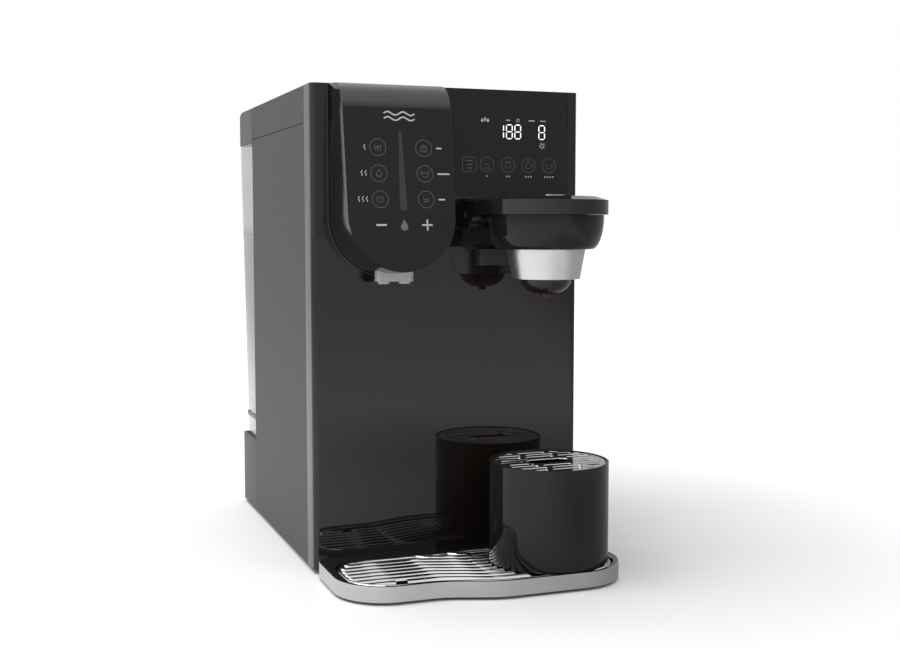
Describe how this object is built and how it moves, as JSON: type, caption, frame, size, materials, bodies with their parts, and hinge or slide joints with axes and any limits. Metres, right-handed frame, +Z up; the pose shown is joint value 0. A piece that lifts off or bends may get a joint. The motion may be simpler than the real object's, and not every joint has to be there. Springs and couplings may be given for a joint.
{
  "type": "countertop water dispenser",
  "caption": "Countertop water dispenser with a lift-off rear tank, a leaning touch panel over its outlets, a hinged capsule brewing head and a waved drip tray with a cup stand",
  "frame": {"origin": "on the worktop at the centre of the footprint, under the feet", "axes": "+Z up, the front with the outlets faces -Y, +X is to the right for someone facing the front"},
  "size_m": [0.25, 0.4556, 0.424],
  "materials": {
    "panel_grey": "fine matte texture",
    "front_gloss": "piano-black gloss",
    "housing_gloss": "soft gloss",
    "touch_glass": "dark printed glass",
    "light_grey": "fine matte texture",
    "dark_grey": "matte",
    "trim_bronze": "satin",
    "clear_tank": "clear moulded plastic",
    "smoke_clear": "smoked clear plastic",
    "satin_metal": "satin",
    "bright_chrome": "polished",
    "steel": "plain",
    "rubber_black": "matte",
    "seal_silicone": "matte silicone",
    "hose_white": "translucent white tube",
    "white_plastic": "plain moulding",
    "board_green": "circuit board",
    "inlet_black": "matte"
  },
  "bodies": {
    "cabinet": {"base_pan": "dark_grey", "foot_front_left": "rubber_black", "foot_front_right": "rubber_black", "foot_rear_left": "rubber_black", "foot_rear_right": "rubber_black", "side_panel_left": "panel_grey", "side_panel_right": "panel_grey", "front_panel": "front_gloss", "display_glass": "touch_glass", "display_board": "board_green", "bay_wall": "dark_grey", "tank_dock": "light_grey", "tank_seal": "seal_silicone", "control_housing": "housing_gloss", "control_trim": "trim_bronze", "control_glass": "touch_glass", "control_board": "board_green", "spout_block": "satin_metal", "hot_outlet": "satin_metal", "ambient_outlet": "satin_metal", "brew_bracket": "front_gloss", "brew_mount": "housing_gloss", "brew_bowl": "housing_gloss", "brew_hinge_pin": "steel", "filter_manifold": "white_plastic", "pump_head": "dark_grey", "pump_motor": "steel", "heater": "steel", "inlet_valve": "white_plastic", "uv_lamp": "steel", "power_supply": "steel", "main_board": "board_green", "feed_hose": "hose_white", "hot_hose": "seal_silicone", "ambient_hose": "hose_white", "power_inlet": "inlet_black", "screws": "steel"},
    "cover": {"top_cover": "panel_grey"},
    "tank": {"water_tank": "clear_tank", "tank_band": "dark_grey", "tank_lid_pin": "steel"},
    "tank_lid": {"tank_lid": "light_grey"},
    "tank_valve": {"tank_valve": "white_plastic", "tank_valve_spring": "steel"},
    "brew_lid": {"brew_lid": "front_gloss", "lid_seal": "seal_silicone"},
    "lid_button": {"lid_button": "bright_chrome", "lid_button_spring": "steel"},
    "brew_cup": {"brew_cup": "bright_chrome", "brew_sieve": "steel", "outlet_dome": "smoke_clear", "outlet_nozzle": "smoke_clear"},
    "tray": {"drip_tray": "dark_grey", "tray_rim": "satin_metal", "tray_pads": "rubber_black"},
    "grille": {"tray_grille": "bright_chrome"},
    "stand": {"cup_stand": "housing_gloss"},
    "stand_grille": {"stand_grille": "dark_grey"},
    "prefilter": {"prefilter_cartridge": "white_plastic"},
    "membrane": {"membrane_cartridge": "white_plastic"}
  },
  "joints": [
    {"name": "cover_lift", "type": "slide", "parent": "cabinet", "child": "cover", "axis": [0, 0, 1], "range_m": [0, 0.2]},
    {"name": "tank_lift", "type": "slide", "parent": "cabinet", "child": "tank", "axis": [0, 0, 1], "range_m": [0, 0.355]},
    {"name": "tank_lid_hinge", "type": "hinge", "parent": "tank", "child": "tank_lid", "pos_m": [0, 0.15275, 0.421], "axis": [1, 0, 0], "range_deg": [0, 88]},
    {"name": "tank_valve_lift", "type": "slide", "parent": "tank", "child": "tank_valve", "axis": [0, 0, 1], "range_m": [0, 0.004], "stiffness_N_per_m": 300, "deforming": ["tank_valve_spring"]},
    {"name": "brew_lid_hinge", "type": "hinge", "parent": "cabinet", "child": "brew_lid", "pos_m": [0.0604, -0.12125, 0.313], "axis": [-1, 0, 0], "range_deg": [0, 88]},
    {"name": "lid_button_press", "type": "slide", "parent": "brew_lid", "child": "lid_button", "axis": [0, 0, -1], "range_m": [0, 0.0015], "stiffness_N_per_m": 400, "deforming": ["lid_button_spring"]},
    {"name": "brew_cup_pull", "type": "slide", "parent": "cabinet", "child": "brew_cup", "axis": [0, 0, -1], "range_m": [0, 0.05]},
    {"name": "tray_pull", "type": "slide", "parent": "cabinet", "child": "tray", "axis": [0, -1, 0], "range_m": [0, 0.08]},
    {"name": "grille_lift", "type": "slide", "parent": "tray", "child": "grille", "axis": [0, 0, 1], "range_m": [0, 0.015]},
    {"name": "stand_lift", "type": "slide", "parent": "grille", "child": "stand", "axis": [0, 0, 1], "range_m": [0, 0.04]},
    {"name": "stand_top_lift", "type": "slide", "parent": "stand", "child": "stand_grille", "axis": [0, 0, 1], "range_m": [0, 0.02]},
    {"name": "prefilter_turn", "type": "hinge", "parent": "cabinet", "child": "prefilter", "pos_m": [-0.076, 0.088, 0.04], "axis": [0, 0, 1], "range_deg": [0, 60]},
    {"name": "membrane_turn", "type": "hinge", "parent": "cabinet", "child": "membrane", "pos_m": [0.002, 0.088, 0.04], "axis": [0, 0, 1], "range_deg": [0, 60]}
  ]
}
